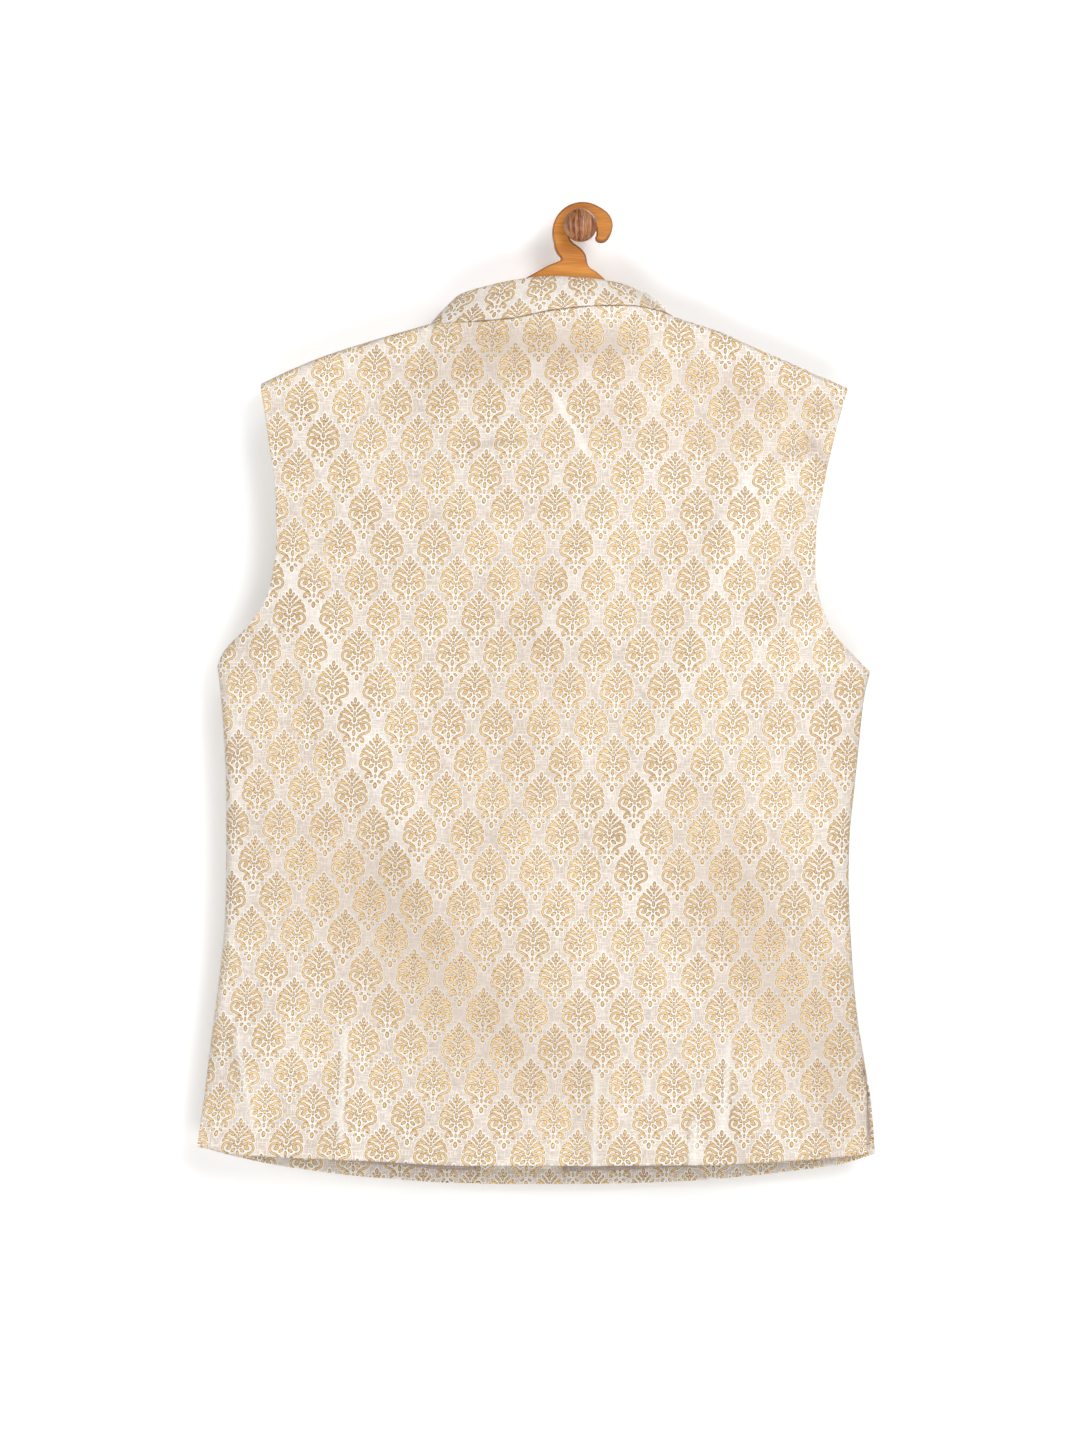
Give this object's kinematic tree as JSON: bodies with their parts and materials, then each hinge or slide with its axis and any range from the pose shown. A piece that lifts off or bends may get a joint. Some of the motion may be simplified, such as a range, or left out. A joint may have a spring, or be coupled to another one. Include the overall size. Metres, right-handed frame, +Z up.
{
  "type": "nehru jacket on a wooden hanger and wall peg",
  "caption": "Sleeveless stand-collar brocade jacket with side vents, hung back outward on a flat wooden hanger from a turned wall peg.",
  "frame": {"origin": "centre of the peg's flat back, where it meets the wall", "axes": "+Z up, +Y into the wall, +X to the right of someone who looks at the wall; the jacket's back faces -Y"},
  "size_m": [0.522, 0.0725, 0.7571],
  "materials": {
    "brocade": "satin",
    "lining": "satin",
    "hanger_wood": "satin varnish",
    "peg_wood": "satin varnish",
    "button_metal": "satin"
  },
  "bodies": {
    "root": {"back": "brocade", "front_left": "brocade", "front_right": "brocade", "collar": "brocade", "front_facing": "brocade", "front_lining_left": "lining", "front_lining_right": "lining", "button_1": "button_metal", "button_2": "button_metal", "button_3": "button_metal", "button_4": "button_metal", "button_5": "button_metal", "hanger": "hanger_wood", "wall_peg": "peg_wood"}
  },
  "joints": []
}
